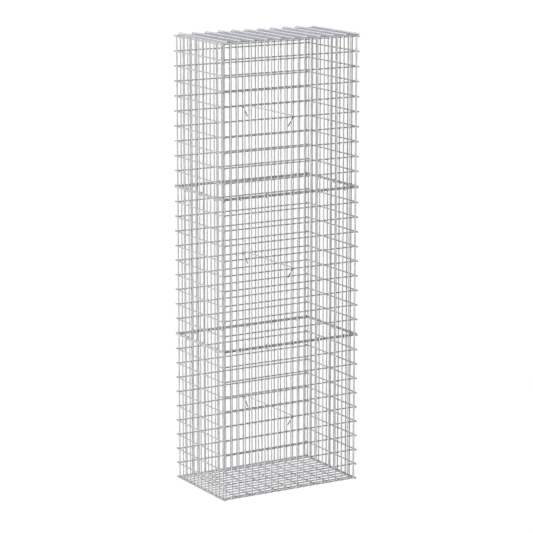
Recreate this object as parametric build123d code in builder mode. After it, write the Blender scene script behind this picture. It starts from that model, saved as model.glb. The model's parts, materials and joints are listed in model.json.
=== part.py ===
from build123d import *
import os

# Stacked welded-mesh gabion cage: a floor, three tiers of four wall panels, a lid and three tie wires.
# X runs along the width, the front faces -Y, Z is up, and the origin lies under the middle of the cage.

# Wire and mesh: square bars with the section area of round wire of 4.5 mm
wire = 4.0
mesh_pitch = 25.0
row_pitch = 50.0
front_bays = 20
side_bays = 12
tier_rows = 10
tiers = 3
seat = 0.3

# How the wall panels meet
side_inset = 4.75
front_inset = 10.0
joint_pitch = 4.6
hook_clearance = 1.0
hook_reach = 9.5
hook_bend = 1.6

# Floor and lid
floor_pitch = 50.0
floor_bays = 10
lid_pitch = 50.0
lid_bays = 10
lid_shift = 10.75
lid_front_overhang = 1.5
lid_side_overhang = 3.0
lid_free_end = 20.0
loop_wrap = 270.0

# Closed rings that bind one tier to the next
ring_wire = 3.0
ring_opening = 11.0
ring_slot = 2.0
ring_sides = 8
ring_spacing = 100.0
front_rings = 5
side_rings = 3
ring_shift = 10.0

# Tie wires
tie_diameter = 3.5
tie_side_step = 4.2
tie_row = 5
tie_bend = 4.8
tie_wrap = 135.0
tie_tail = 39.0

# Planes that everything is set out from
half = wire / 2
half_width = front_bays * mesh_pitch / 2
half_depth = side_bays * mesh_pitch / 2 + front_inset
side_line = half_width + side_inset
side_row_line = side_line + wire
front_row_line = half_depth - wire
upright_length = tier_rows * row_pitch + joint_pitch - seat
tier_pitch = tier_rows * row_pitch + joint_pitch
first_row = (upright_length - tier_rows * row_pitch) / 2
row_heights = [first_row + row_pitch * row for row in range(tier_rows + 1)]
wall_top = tier_pitch * (tiers - 1) + upright_length
tier_bases = [tier_pitch * tier for tier in range(tiers)]

# Front mesh of one tier: uprights outside, rows welded to their inner side
row_reach = side_row_line - half - seat
with BuildPart() as front_mesh:
    with BuildSketch(Plane.XY):
        with Locations((0, -half_depth)):
            with GridLocations(mesh_pitch, mesh_pitch, front_bays + 1, 1):
                Rectangle(wire, wire)
    extrude(amount=upright_length)
    with BuildSketch(Plane.YZ.offset(-row_reach)):
        with Locations((-front_row_line, upright_length / 2)):
            with GridLocations(row_pitch, row_pitch, 1, tier_rows + 1):
                Rectangle(wire, wire)
    extrude(amount=2 * row_reach)

# Side mesh of one tier: rows outside the uprights, hooked round the end uprights of the front and back
hook_line = half_depth + wire + hook_clearance
with BuildPart() as side_mesh:
    with BuildSketch(Plane.XY):
        with Locations((-side_line, 0)):
            with GridLocations(mesh_pitch, mesh_pitch, 1, side_bays + 1):
                Rectangle(wire, wire)
    extrude(amount=upright_length)
    with BuildSketch(*[Plane.XY.offset(height - half) for height in row_heights]) as hooked_rows:
        with Locations((-side_row_line, 0)):
            Rectangle(wire, 2 * hook_line + wire)
        with Locations((-side_row_line - half, hook_line)):
            Rectangle(hook_reach, wire, align=(Align.MIN, Align.CENTER))
        with Locations((-side_row_line - half, -hook_line)):
            Rectangle(hook_reach, wire, align=(Align.MIN, Align.CENTER))
    extrude(amount=wire)
    outer_bends = side_mesh.edges().filter_by(Axis.Z).group_by(Axis.X)[0]
    chamfer(outer_bends, length=hook_bend)

# The four walls of each tier
with BuildPart() as lower_front_panel:
    add(front_mesh.part)
with BuildPart() as lower_back_panel:
    mirror(front_mesh.part, about=Plane.XZ)
with BuildPart() as lower_left_panel:
    add(side_mesh.part)
with BuildPart() as lower_right_panel:
    mirror(side_mesh.part, about=Plane.YZ)

with BuildPart() as middle_front_panel:
    with Locations((0, 0, tier_bases[1])):
        add(lower_front_panel.part)
with BuildPart() as middle_back_panel:
    with Locations((0, 0, tier_bases[1])):
        add(lower_back_panel.part)
with BuildPart() as middle_left_panel:
    with Locations((0, 0, tier_bases[1])):
        add(lower_left_panel.part)
with BuildPart() as middle_right_panel:
    with Locations((0, 0, tier_bases[1])):
        add(lower_right_panel.part)

with BuildPart() as upper_front_panel:
    with Locations((0, 0, tier_bases[2])):
        add(lower_front_panel.part)
with BuildPart() as upper_back_panel:
    with Locations((0, 0, tier_bases[2])):
        add(lower_back_panel.part)
with BuildPart() as upper_left_panel:
    with Locations((0, 0, tier_bases[2])):
        add(lower_left_panel.part)
with BuildPart() as upper_right_panel:
    with Locations((0, 0, tier_bases[2])):
        add(lower_right_panel.part)

# Floor mesh inside the walls: long wires on top of the short ones, all ends just short of the walls
floor_reach_y = front_row_line - half - seat
floor_reach_x = side_line - half - seat
with BuildPart() as floor_panel:
    with BuildSketch(Plane.XZ.offset(-floor_reach_y)):
        with Locations((0, half)):
            with GridLocations(floor_pitch, floor_pitch, floor_bays + 1, 1):
                Rectangle(wire, wire)
    extrude(amount=2 * floor_reach_y)
    with BuildSketch(Plane.YZ.offset(-floor_reach_x)):
        with Locations((0, wire + half)):
            with GridLocations(mesh_pitch, mesh_pitch, side_bays + 1, 1):
                Rectangle(wire, wire)
    extrude(amount=2 * floor_reach_x)

# Lid mesh: long wires below, short wires above that loop round the back panel's top row as a hinge.
# The short wire over the right wall ends free, and no long wire runs beside the hinge, so the lid can turn.
hinge_height = tier_bases[-1] + row_heights[-1]
lid_base = wall_top + seat
lid_left_end = -side_row_line
free_wire_place = lid_shift + lid_pitch * lid_bays / 2
lid_right_end = free_wire_place + lid_side_overhang
short_wire_height = lid_base + wire + half
short_wire_front = -(half_depth + lid_front_overhang)
free_wire_length = front_row_line - lid_free_end - short_wire_front
loop_radius = short_wire_height - hinge_height
looped_wires = [free_wire_place - lid_pitch * (place + 1) for place in range(lid_bays)]
with BuildPart() as lid_panel:
    with BuildSketch(Plane.YZ.offset(lid_left_end)):
        with Locations((-mesh_pitch / 2, lid_base + half)):
            with GridLocations(mesh_pitch, mesh_pitch, side_bays, 1):
                Rectangle(wire, wire)
    extrude(amount=lid_right_end - lid_left_end)
    with BuildSketch(Plane.XY.offset(short_wire_height - half)):
        with Locations((free_wire_place, short_wire_front)):
            Rectangle(wire, free_wire_length, align=(Align.CENTER, Align.MIN))
    extrude(amount=wire)
    with BuildSketch(*[Plane.YZ.offset(place - half) for place in looped_wires]):
        with BuildLine():
            straight = Line((short_wire_front, short_wire_height), (front_row_line, short_wire_height))
            JernArc(straight @ 1, straight % 1, loop_radius, -loop_wrap)
        trace(line_width=wire)
    extrude(amount=wire)

# Rings round the two rows that meet at each joint between tiers
ring_height = tier_pitch + first_row + half + seat - ring_opening / 2
ring_outer = ring_opening + 2 * ring_wire
ring_turn = 180 / ring_sides
with BuildPart() as front_ring_row:
    with BuildSketch(Plane.YZ.offset(-ring_wire / 2)):
        with Locations((-front_row_line, ring_height)):
            RegularPolygon(ring_outer / 2, ring_sides, major_radius=False, rotation=ring_turn)
            RegularPolygon(
                ring_opening / 2, ring_sides, major_radius=False, rotation=ring_turn, mode=Mode.SUBTRACT
            )
            Rectangle(ring_outer, ring_slot, align=(Align.MIN, Align.CENTER), mode=Mode.SUBTRACT)
    extrude(amount=ring_wire)
with BuildPart() as side_ring_row:
    with BuildSketch(Plane.XZ.offset(-ring_wire / 2)):
        with Locations((-side_row_line, ring_height)):
            RegularPolygon(ring_outer / 2, ring_sides, major_radius=False, rotation=ring_turn)
            RegularPolygon(
                ring_opening / 2, ring_sides, major_radius=False, rotation=ring_turn, mode=Mode.SUBTRACT
            )
            Rectangle(ring_outer, ring_slot, align=(Align.MIN, Align.CENTER), mode=Mode.SUBTRACT)
    extrude(amount=ring_wire)

with BuildPart() as lower_front_rings:
    with Locations((ring_shift, 0, 0)):
        with GridLocations(ring_spacing, ring_spacing, front_rings, 1):
            add(front_ring_row.part)
with BuildPart() as lower_left_rings:
    with Locations((0, ring_shift - mesh_pitch, 0)):
        with GridLocations(ring_spacing, ring_spacing, 1, side_rings):
            add(side_ring_row.part)
with BuildPart() as lower_back_rings:
    mirror(lower_front_rings.part, about=Plane.XZ)
with BuildPart() as lower_right_rings:
    mirror(lower_left_rings.part, about=Plane.YZ)

with BuildPart() as upper_front_rings:
    with Locations((0, 0, tier_pitch)):
        add(lower_front_rings.part)
with BuildPart() as upper_back_rings:
    with Locations((0, 0, tier_pitch)):
        add(lower_back_rings.part)
with BuildPart() as upper_left_rings:
    with Locations((0, 0, tier_pitch)):
        add(lower_left_rings.part)
with BuildPart() as upper_right_rings:
    with Locations((0, 0, tier_pitch)):
        add(lower_right_rings.part)

# Tie wires from front to back at mid height of each tier, their ends hooked over a row and folded inward
tie_height = row_heights[tie_row] + tie_bend
with BuildPart() as lower_tie_wire:
    with BuildLine(Plane.YZ.offset(tie_side_step)) as tie_path:
        half_span = Line((0, tie_height), (-front_row_line, tie_height))
        front_bend = JernArc(half_span @ 1, half_span % 1, tie_bend, tie_wrap)
        front_tail = Line(front_bend @ 1, front_bend @ 1 + (front_bend % 1) * tie_tail)
        mirror(about=Plane.XZ)
    with BuildSketch(Plane(origin=front_tail @ 1, z_dir=front_tail % 1)):
        Circle(tie_diameter / 2)
    sweep(path=tie_path.wires()[0])
with BuildPart() as middle_tie_wire:
    with Locations((0, 0, tier_bases[1])):
        add(lower_tie_wire.part)
with BuildPart() as upper_tie_wire:
    with Locations((0, 0, tier_bases[2])):
        add(lower_tie_wire.part)

pieces = {
    "floor_panel": floor_panel,
    "lower_front_panel": lower_front_panel,
    "lower_back_panel": lower_back_panel,
    "lower_left_panel": lower_left_panel,
    "lower_right_panel": lower_right_panel,
    "middle_front_panel": middle_front_panel,
    "middle_back_panel": middle_back_panel,
    "middle_left_panel": middle_left_panel,
    "middle_right_panel": middle_right_panel,
    "upper_front_panel": upper_front_panel,
    "upper_back_panel": upper_back_panel,
    "upper_left_panel": upper_left_panel,
    "upper_right_panel": upper_right_panel,
    "lid_panel": lid_panel,
    "lower_tie_wire": lower_tie_wire,
    "middle_tie_wire": middle_tie_wire,
    "upper_tie_wire": upper_tie_wire,
    "lower_front_rings": lower_front_rings,
    "lower_back_rings": lower_back_rings,
    "lower_left_rings": lower_left_rings,
    "lower_right_rings": lower_right_rings,
    "upper_front_rings": upper_front_rings,
    "upper_back_rings": upper_back_rings,
    "upper_left_rings": upper_left_rings,
    "upper_right_rings": upper_right_rings,
}

os.makedirs("parts", exist_ok=True)
for label, piece in pieces.items():
    piece.part.label = label
    export_step(piece.part, f"parts/{label}.step")
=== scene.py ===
import json
import math
import random

import bmesh
import bpy
from mathutils import Matrix, Vector

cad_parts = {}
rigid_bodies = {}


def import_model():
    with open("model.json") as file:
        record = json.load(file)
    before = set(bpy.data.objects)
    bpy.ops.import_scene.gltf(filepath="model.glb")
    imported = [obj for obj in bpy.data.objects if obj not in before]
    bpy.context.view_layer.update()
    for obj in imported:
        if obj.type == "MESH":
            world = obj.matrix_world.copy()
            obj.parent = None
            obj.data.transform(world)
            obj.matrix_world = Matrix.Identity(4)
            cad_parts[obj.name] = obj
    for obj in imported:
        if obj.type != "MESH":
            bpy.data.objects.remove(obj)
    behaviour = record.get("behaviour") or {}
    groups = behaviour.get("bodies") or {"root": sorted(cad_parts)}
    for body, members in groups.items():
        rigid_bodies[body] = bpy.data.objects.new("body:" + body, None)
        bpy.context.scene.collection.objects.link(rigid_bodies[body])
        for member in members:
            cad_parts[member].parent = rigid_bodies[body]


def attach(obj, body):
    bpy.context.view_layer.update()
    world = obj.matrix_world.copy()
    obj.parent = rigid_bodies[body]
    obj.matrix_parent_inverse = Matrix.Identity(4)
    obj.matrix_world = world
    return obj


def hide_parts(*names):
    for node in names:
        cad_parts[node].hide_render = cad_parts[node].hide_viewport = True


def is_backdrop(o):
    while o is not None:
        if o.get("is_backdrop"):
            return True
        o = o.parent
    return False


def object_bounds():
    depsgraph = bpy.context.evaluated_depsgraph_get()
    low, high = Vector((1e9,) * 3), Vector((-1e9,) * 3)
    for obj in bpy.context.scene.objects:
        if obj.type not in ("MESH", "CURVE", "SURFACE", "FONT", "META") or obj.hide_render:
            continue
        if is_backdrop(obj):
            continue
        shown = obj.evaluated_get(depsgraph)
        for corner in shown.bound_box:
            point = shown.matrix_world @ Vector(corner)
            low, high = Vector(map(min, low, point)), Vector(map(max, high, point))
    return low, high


for leftover in list(bpy.data.objects):
    bpy.data.objects.remove(leftover)
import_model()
cadLow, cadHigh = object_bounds()
dice = random.Random(7)
print("frame loaded")

# Wires. Every size in this script is in metres and every angle in degrees
wire = {"radius": 0.00225, "sides": 12, "trim": 0.0004}
trimSlope = 0.8  # how far a trimmed end narrows, as a share of the trim
bow = {"step": 0.025, "reach": 0.00012, "slow": (5, 4), "quick": (13, 11), "quickShare": 0.5}


def newMesh():
    mesh = bmesh.new()
    mesh.verts.layers.float.new("tone")
    return mesh


def tube(net, points, size):
    mesh = newMesh()  # small by itself, so that each extrusion is quick
    toneLayer = mesh.verts.layers.float["tone"]
    tone = dice.random()
    first, last = points[0], points[-1]
    inFirst = first + (points[1] - first).normalized() * size["trim"]
    inLast = last + (points[-2] - last).normalized() * size["trim"]
    points = [first, inFirst, *points[1:-1], inLast, last]
    radii = [size["radius"]] * len(points)
    radii[0] = radii[-1] = size["radius"] - trimSlope * size["trim"]
    side = None
    stations = []
    for place, point in enumerate(points):
        ahead = points[min(place + 1, len(points) - 1)] - points[max(place - 1, 0)]
        ahead.normalize()
        if side is None:
            side = ahead.orthogonal()
        side = (side - ahead * side.dot(ahead)).normalized()
        turned = Matrix((side.cross(ahead), side, ahead)).transposed()
        stations.append(Matrix.LocRotScale(point, turned, [radii[place]] * 3))
    disc = bmesh.ops.create_circle(mesh, cap_ends=True, segments=size["sides"], radius=1, matrix=stations[0])
    for vertex in disc["verts"]:
        vertex[toneLayer] = tone
    end = disc["verts"][0].link_faces[0]
    for before, after in zip(stations, stations[1:]):
        grown = bmesh.ops.extrude_face_region(mesh, geom=[end, *end.edges])["geom"]
        end = next(part for part in grown if isinstance(part, bmesh.types.BMFace))
        bmesh.ops.transform(mesh, matrix=after @ before.inverted(), verts=end.verts)
    data = bpy.data.meshes.new("wire")
    mesh.to_mesh(data)
    mesh.free()
    net.from_mesh(data)
    bpy.data.meshes.remove(data)


def straight(start, end):
    start, end = Vector(start), Vector(end)
    span = end - start
    steps = max(2, round(span.length / bow["step"]))
    across = span.orthogonal().normalized()
    over = span.normalized().cross(across)
    phase = [dice.uniform(0, 2 * math.pi) for _ in range(4)]
    points = []
    for place in range(steps + 1):
        share = place / steps
        leans = []
        for way in (0, 1):
            slow = math.sin(bow["slow"][way] * share + phase[2 * way])
            quick = math.sin(bow["quick"][way] * share + phase[2 * way + 1])
            leans.append(slow + bow["quickShare"] * quick)
        points.append(start + span * share + bow["reach"] * (across * leans[0] + over * leans[1]))
    return points


def arc(centre, first, second, radius, begin, end, steps):
    centre, first, second = Vector(centre), Vector(first), Vector(second)
    angles = [math.radians(begin + (end - begin) * place / steps) for place in range(steps + 1)]
    return [centre + radius * (first * math.cos(angle) + second * math.sin(angle)) for angle in angles]


# Weld beads, uneven in size and flat across the two wires that they join
bead = {"along": 0.0031, "alongSpread": 0.15, "thick": 0.0014, "thickSpread": 0.1}


def weld(mesh, place, normal):
    toneLayer = mesh.verts.layers.float["tone"]
    tone = dice.random()
    size = bead["along"] * dice.uniform(1 - bead["alongSpread"], 1 + bead["alongSpread"])
    grow = [size, size, size]
    grow[normal] = bead["thick"] * dice.uniform(1 - bead["thickSpread"], 1 + bead["thickSpread"])
    shape = Matrix.Translation(place) @ Matrix.Diagonal((*grow, 1))
    made = bmesh.ops.create_icosphere(mesh, subdivisions=1, radius=1, matrix=shape)["verts"]
    for vertex in made:
        vertex[toneLayer] = tone
    for face in {face for vertex in made for face in vertex.link_faces}:
        face.material_index = 1


def makePiece(name, mesh, materials, body, node, levels=None):
    lowest, highest = levels or (cadLow[2], cadHigh[2])
    corners = list(zip((*cadLow[:2], lowest), (*cadHigh[:2], highest)))
    for vertex in mesh.verts:
        vertex.co = [min(max(spot, low), high) for spot, (low, high) in zip(vertex.co, corners)]
    for face in mesh.faces:
        face.smooth = len(face.verts) <= 4  # the flat ends of the wires have more corners
    data = bpy.data.meshes.new(name)
    mesh.to_mesh(data)
    mesh.free()
    for material in materials:
        data.materials.append(material)
    piece = bpy.data.objects.new(name, data)
    bpy.context.scene.collection.objects.link(piece)
    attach(piece, body)
    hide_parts(node)


def addNode(tree, kind, inputs, **options):
    node = tree.nodes.new(kind)
    for option, value in options.items():
        setattr(node, option, value)
    for socket, value in inputs.items():
        if isinstance(value, bpy.types.NodeSocket):
            tree.links.new(value, node.inputs[socket])
        else:
            node.inputs[socket].default_value = value
    return node


def between(tree, value, low, high):
    node = addNode(tree, "ShaderNodeMapRange", {"Value": value, "To Min": low, "To Max": high})
    return node.outputs["Result"]


# Zinc finishes: soft patches, small crystals, and a level of its own for each wire
pattern = {
    "patchDetail": 5, "patchRough": 0.6, "patchEdges": (0.32, 0.68), "grainDetail": 3, "grainDepth": 0.0003,
}


def zinc(name, look):
    material = bpy.data.materials.new(name)
    material.use_nodes = True
    tree = material.node_tree
    shader = tree.nodes["Principled BSDF"]
    place = addNode(tree, "ShaderNodeTexCoord", {}).outputs["Object"]
    tone = addNode(tree, "ShaderNodeAttribute", {}, attribute_name="tone").outputs["Fac"]
    patches = addNode(tree, "ShaderNodeTexNoise", {
        "Vector": place, "Scale": look["patchScale"], "Detail": pattern["patchDetail"],
        "Roughness": pattern["patchRough"],
    }).outputs["Fac"]
    colours = addNode(tree, "ShaderNodeValToRGB", {"Fac": patches})
    shades = (look["dark"], look["pale"])
    for stop, edge, colour in zip(colours.color_ramp.elements, pattern["patchEdges"], shades):
        stop.position = edge
        stop.color = colour
    spangle = addNode(tree, "ShaderNodeTexVoronoi", {"Vector": place, "Scale": look["spangleScale"]})
    crystals = addNode(tree, "ShaderNodeSeparateColor", {"Color": spangle.outputs["Color"]})
    level = between(tree, crystals.outputs["Red"], 1 - look["spangle"], 1 + look["spangle"])
    perWire = between(tree, tone, 1 - look["perWire"], 1 + look["perWire"])
    both = addNode(tree, "ShaderNodeMath", {0: level, 1: perWire}, operation="MULTIPLY").outputs["Value"]
    shade = addNode(tree, "ShaderNodeVectorMath", {
        0: colours.outputs["Color"], "Scale": both,
    }, operation="SCALE")
    grain = addNode(tree, "ShaderNodeTexNoise", {
        "Vector": place, "Scale": look["grainScale"], "Detail": pattern["grainDetail"],
    })
    bump = addNode(tree, "ShaderNodeBump", {
        "Height": grain.outputs["Fac"], "Strength": look["bump"], "Distance": pattern["grainDepth"],
    })
    tree.links.new(shade.outputs["Vector"], shader.inputs["Base Color"])
    tree.links.new(between(tree, patches, look["roughLow"], look["roughHigh"]), shader.inputs["Roughness"])
    tree.links.new(bump.outputs["Normal"], shader.inputs["Normal"])
    shader.inputs["Metallic"].default_value = look["metal"]
    return material


meshZinc = zinc("meshZinc", {
    "dark": (0.575, 0.585, 0.57, 1), "pale": (0.71, 0.72, 0.70, 1), "patchScale": 90, "spangleScale": 420,
    "spangle": 0.06, "perWire": 0.05, "roughLow": 0.42, "roughHigh": 0.62, "grainScale": 900, "bump": 0.25,
    "metal": 0.12,
})
# A paler, lavender copy of the mesh zinc for the floor and lid: painted light from the sky above, not a
# finish of their own
paintedSkylightZinc = zinc("paintedSkylightZinc", {
    "dark": (0.74, 0.74, 0.79, 1), "pale": (0.84, 0.84, 0.89, 1), "patchScale": 90, "spangleScale": 420,
    "spangle": 0.06, "perWire": 0.05, "roughLow": 0.42, "roughHigh": 0.62, "grainScale": 900, "bump": 0.25,
    "metal": 0.12,
})
weldZinc = zinc("weldZinc", {
    "dark": (0.48, 0.48, 0.49, 1), "pale": (0.68, 0.68, 0.69, 1), "patchScale": 260, "spangleScale": 700,
    "spangle": 0.08, "perWire": 0.12, "roughLow": 0.5, "roughHigh": 0.75, "grainScale": 1200, "bump": 0.5,
    "metal": 0.1,
})
# The rings' zinc is paler than the mesh wires: painted light, so that the rings show as bright spots
paintedLightRingZinc = zinc("paintedLightRingZinc", {
    "dark": (0.74, 0.75, 0.74, 1), "pale": (0.88, 0.89, 0.88, 1), "patchScale": 140, "spangleScale": 600,
    "spangle": 0.04, "perWire": 0.06, "roughLow": 0.3, "roughHigh": 0.48, "grainScale": 1400, "bump": 0.15,
    "metal": 0.15,
})
# Tie zinc: its per-wire share here scales painted shade on the bent ends and painted light on the straight
# run
tieZinc = zinc("tieZinc", {
    "dark": (0.38, 0.38, 0.385, 1), "pale": (0.48, 0.48, 0.485, 1), "patchScale": 120, "spangleScale": 600,
    "spangle": 0.05, "perWire": 0.72, "roughLow": 0.38, "roughHigh": 0.58, "grainScale": 1000, "bump": 0.25,
    "metal": 0.35,
})
print("finishes made")

# Wall panels: three tiers of four
wall = {
    "pitch": 0.025, "bays": 20, "sideBays": 12, "rowPitch": 0.05, "rows": 10, "tierPitch": 0.5046,
    "uprightLength": 0.5043, "firstRow": 0.00215, "halfWidth": 0.25, "upright": 0.16, "row": 0.156,
    "rowEnd": 0.25625, "sideUpright": 0.25475, "sideRow": 0.25875, "hookLine": 0.1647, "hookEnd": 0.2513,
    "hookBend": 0.004, "hookSteps": 6,
}
tiers = ("lower", "middle", "upper")
faces = (("front", -1), ("back", 1), ("left", -1), ("right", 1))
depthPlaces = [wall["pitch"] * (bay - wall["sideBays"] / 2) for bay in range(wall["sideBays"] + 1)]


def longNet(facing, base, top, rows):
    net = newMesh()
    y = facing * wall["upright"]
    rowY = facing * wall["row"]
    columns = [-wall["halfWidth"] + wall["pitch"] * bay for bay in range(wall["bays"] + 1)]
    for x in columns:
        tube(net, straight((x, y, base), (x, y, top)), wire)
    for z in rows:
        tube(net, straight((-wall["rowEnd"], rowY, z), (wall["rowEnd"], rowY, z)), wire)
        for x in columns:
            weld(net, (x, (y + rowY) / 2, z), 1)
    return net


def sideNet(facing, base, top, rows):
    net = newMesh()
    x = facing * wall["sideUpright"]
    rowX = facing * wall["sideRow"]
    for y in depthPlaces:
        tube(net, straight((x, y, base), (x, y, top)), wire)
    bend = wall["hookBend"]
    turnX = rowX - facing * bend
    turnY = wall["hookLine"] - bend
    for z in rows:
        run = [Vector((facing * wall["hookEnd"], -wall["hookLine"], z))]
        run += arc((turnX, -turnY, z), (0, -1, 0), (facing, 0, 0), bend, 0, 90, wall["hookSteps"])
        run += straight((rowX, -turnY, z), (rowX, turnY, z))[1:-1]
        run += arc((turnX, turnY, z), (facing, 0, 0), (0, 1, 0), bend, 0, 90, wall["hookSteps"])
        run += [Vector((facing * wall["hookEnd"], wall["hookLine"], z))]
        tube(net, run, wire)
        for y in depthPlaces:
            weld(net, ((x + rowX) / 2, y, z), 0)
    return net


for tier, label in enumerate(tiers):
    base = tier * wall["tierPitch"]
    top = base + wall["uprightLength"]
    rows = [base + wall["firstRow"] + wall["rowPitch"] * row for row in range(wall["rows"] + 1)]
    for face, facing in faces:
        name = f"{face}Net{label.capitalize()}"
        node = f"{label}_{face}_panel"
        lengthwise = face in ("front", "back")
        net = longNet(facing, base, top, rows) if lengthwise else sideNet(facing, base, top, rows)
        makePiece(name, net, (meshZinc, weldZinc), "cage", node, (base, top))
print("walls made")

# Floor: short wires under long ones
floorNet = {
    "low": 0.00225, "high": 0.00605, "shortReach": 0.1537, "longReach": 0.25245,
    "shortWires": 11, "shortPitch": 0.05,
}
net = newMesh()
low, high = floorNet["low"], floorNet["high"]
for bay in range(floorNet["shortWires"]):
    x = -wall["halfWidth"] + floorNet["shortPitch"] * bay
    tube(net, straight((x, -floorNet["shortReach"], low), (x, floorNet["shortReach"], low)), wire)
    for y in depthPlaces:
        weld(net, (x, y, (low + high) / 2), 2)
for y in depthPlaces:
    tube(net, straight((-floorNet["longReach"], y, high), (floorNet["longReach"], y, high)), wire)
makePiece("floorNet", net, (paintedSkylightZinc, weldZinc), "cage", "floor_panel")
print("floor made")

# Lid: long wires under short ones, of which all but the last run on into hinge loops
lidNet = {
    "low": 1.516, "high": 1.5193, "left": -0.25875, "right": 0.26375, "front": -0.1615, "free": 0.136,
    "shortWires": 11, "shortPitch": 0.05, "shift": 0.01075, "hingeLine": 0.156, "hingeHeight": 1.51135,
    "wrapStart": 12, "wrap": 262, "wrapSteps": 26,
}
net = newMesh()
low, high = lidNet["low"], lidNet["high"]
longPlaces = depthPlaces[:-1]  # no long wire under the loops
for y in longPlaces:
    tube(net, straight((lidNet["left"], y, low), (lidNet["right"], y, low)), wire)
loopRadius = high - lidNet["hingeHeight"]
lastWire = lidNet["shortWires"] - 1
for bay in range(lidNet["shortWires"]):
    x = lidNet["shift"] + lidNet["shortPitch"] * (bay - lastWire / 2)
    looped = bay < lastWire
    end = lidNet["hingeLine"] if looped else lidNet["free"]
    run = straight((x, lidNet["front"], high), (x, end, high))
    if looped:
        hinge = (x, lidNet["hingeLine"], lidNet["hingeHeight"])
        begin, finish, steps = lidNet["wrapStart"], lidNet["wrap"], lidNet["wrapSteps"]
        run += arc(hinge, (0, 0, 1), (0, 1, 0), loopRadius, begin, finish, steps)
    tube(net, run, wire)
    for y in longPlaces:
        weld(net, (x, y, (low + high) / 2), 2)
makePiece("lidNet", net, (paintedSkylightZinc, weldZinc), "lid", "lid_panel")
print("lid made")

# Rings round the doubled rows where two tiers meet, open on the inside
ring = {
    "radius": 0.0015, "sides": 10, "trim": 0.0003, "middle": 0.007, "low": 0.50355, "gap": 10,
    "twist": 0.0005, "steps": 40, "pitch": 0.1, "shift": 0.01, "longRings": 5, "sideRings": 3,
}


def ringRow(middle, inward, along, count, shift):
    net = newMesh()
    middle, along = Vector(middle), Vector(along)
    for place in range(count):
        centre = middle + along * (shift + ring["pitch"] * (place - (count - 1) / 2))
        gap, steps = ring["gap"], ring["steps"]
        run = arc(centre, inward, (0, 0, 1), ring["middle"], gap, 360 - gap, steps)
        run = [point + along * ring["twist"] * (2 * step / steps - 1) for step, point in enumerate(run)]
        tube(net, run, ring)
    return net


for joint, label in enumerate(("lower", "upper")):
    height = ring["low"] + joint * wall["tierPitch"]
    for face, facing in faces:
        if face in ("front", "back"):
            middle, inward, along = (0, facing * wall["row"], height), (0, -facing, 0), (1, 0, 0)
            net = ringRow(middle, inward, along, ring["longRings"], ring["shift"])
        else:
            middle, inward, along = (facing * wall["sideRow"], 0, height), (-facing, 0, 0), (0, 1, 0)
            net = ringRow(middle, inward, along, ring["sideRings"], ring["shift"] - wall["pitch"])
        name = f"{face}Rings{label.capitalize()}"
        makePiece(name, net, (paintedLightRingZinc,), "cage", f"{label}_{face}_rings")
print("rings made")

# Tie wires: from front to back, bent down over a row at each end and folded inwards
tie = {
    "radius": 0.00175, "sides": 12, "trim": 0.0004, "x": 0.0042, "row": 5, "bend": 0.0048, "wrap": 135,
    "bendSteps": 14, "tail": 0.039, "tailSteps": 4, "paintedShadeReach": 0.003,
}
for tier, label in enumerate(tiers):
    net = newMesh()
    rowHeight = tier * wall["tierPitch"] + wall["firstRow"] + wall["rowPitch"] * tie["row"]
    ends = []
    for facing in (-1, 1):
        centre = (tie["x"], facing * wall["row"], rowHeight)
        bent = arc(centre, (0, 0, 1), (0, facing, 0), tie["bend"], 0, tie["wrap"], tie["bendSteps"])
        tail = (bent[-1] - bent[-2]).normalized() * tie["tail"]
        bent += [bent[-1] + tail * (place + 1) / tie["tailSteps"] for place in range(tie["tailSteps"])]
        ends.append(bent)
    run = list(reversed(ends[0])) + straight(ends[0][0], ends[1][0])[1:-1] + ends[1]
    tube(net, run, tie)
    # Painted shade on the tie: wire below the height mark gets the dark end of the tone, the rest the pale
    # end
    toneLayer = net.verts.layers.float["tone"]
    for vertex in net.verts:  # painted shade: the bent ends are made much darker and the straight run paler
        vertex[toneLayer] = 0 if vertex.co.z < rowHeight + tie["paintedShadeReach"] else 1
    makePiece(f"tieWire{label.capitalize()}", net, (tieZinc,), "cage", f"{label}_tie_wire")
print("ties made")


def seenDirectly(tree):
    rays = tree.nodes.new("ShaderNodeLightPath").outputs
    seen = rays["Is Camera Ray"]
    for other in ("Is Glossy Ray", "Is Transmission Ray"):
        seen = addNode(tree, "ShaderNodeMath", {0: seen, 1: rays[other]}, operation="MAXIMUM").outputs[0]
    return seen


# Studio floor: pale where it is seen, duller where it only throws light back
ground = {
    "reach": 60, "paint": (0.5, 0.5, 0.54, 1), "glow": (0.92, 0.92, 0.92, 1), "shadow": (0.3, 0.3, 0.3, 1),
}
scene = bpy.context.scene
floorMesh = bmesh.new()
bmesh.ops.create_grid(floorMesh, x_segments=1, y_segments=1, size=ground["reach"])
floorData = bpy.data.meshes.new("studioFloor")
floorMesh.to_mesh(floorData)
floorMesh.free()
studioFloor = bpy.data.objects.new("studioFloor", floorData)
scene.collection.objects.link(studioFloor)
studioFloor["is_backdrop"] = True

floorPaint = bpy.data.materials.new("studioFloor")
floorPaint.use_nodes = True
tree = floorPaint.node_tree
paint = tree.nodes["Principled BSDF"]
paint.inputs["Base Color"].default_value = ground["paint"]
paint.inputs["Roughness"].default_value = 1
paint.inputs["Specular IOR Level"].default_value = 0
glow = addNode(tree, "ShaderNodeEmission", {"Color": ground["glow"]})
shadowed = addNode(tree, "ShaderNodeBsdfDiffuse", {"Color": ground["shadow"]})
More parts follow.
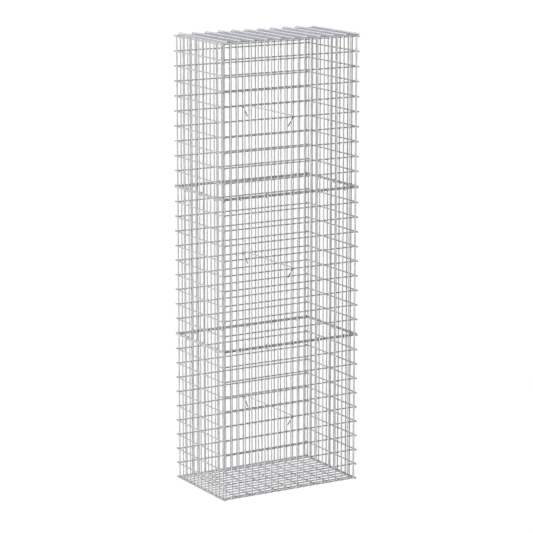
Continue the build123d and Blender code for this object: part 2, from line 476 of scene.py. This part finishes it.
together = addNode(tree, "ShaderNodeAddShader", {0: glow.outputs["Emission"], 1: shadowed.outputs["BSDF"]})
mixer = addNode(tree, "ShaderNodeMixShader", {
    "Fac": seenDirectly(tree), 1: paint.outputs["BSDF"], 2: together.outputs["Shader"],
})
tree.links.new(mixer.outputs["Shader"], tree.nodes["Material Output"].inputs["Surface"])
floorData.materials.append(floorPaint)

# Light: a key lamp from the left, a weak one from the right, and a dim sky that is white where it is seen
light = {
    "key": 2.5, "keyFrom": (-1, -0.34, 0.24), "keyAngle": 20,
    "fill": 0.7, "fillFrom": (1, 0.15, 0.15), "fillAngle": 60,
    "ambient": 0.18, "shade": (0.94, 0.94, 1, 1),
}
for lamp in ("key", "fill"):
    lampData = bpy.data.lights.new(f"{lamp}Lamp", "SUN")
    lampData.energy = light[lamp]
    lampData.angle = math.radians(light[f"{lamp}Angle"])
    holder = bpy.data.objects.new(f"{lamp}Lamp", lampData)
    scene.collection.objects.link(holder)
    holder.rotation_euler = Vector(light[f"{lamp}From"]).to_track_quat("Z", "Y").to_euler()

world = bpy.data.worlds.new("studio")
scene.world = world
world.use_nodes = True
tree = world.node_tree
sky = tree.nodes["Background"]
tint = addNode(tree, "ShaderNodeMix", {
    "Factor": seenDirectly(tree), "A": light["shade"], "B": (1, 1, 1, 1),
}, data_type="RGBA")
tree.links.new(tint.outputs["Result"], sky.inputs["Color"])
tree.links.new(between(tree, seenDirectly(tree), light["ambient"], 1), sky.inputs["Strength"])

# Camera at the photograph's viewing angle
view = {
    "lens": 158.658, "place": (-3.90551, -6.66388, 2.31531), "down": 11.5488, "aside": 30.3732, "reach": 200,
}
cameraData = bpy.data.cameras.new("photoCamera")
cameraData.lens = view["lens"]
cameraData.clip_end = view["reach"]
photoCamera = bpy.data.objects.new("photoCamera", cameraData)
scene.collection.objects.link(photoCamera)
photoCamera.location = view["place"]
photoCamera.rotation_euler = (math.radians(90 - view["down"]), 0, math.radians(-view["aside"]))
scene.camera = photoCamera
scene.view_settings.view_transform = "Standard"
print("studio ready")

low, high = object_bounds()
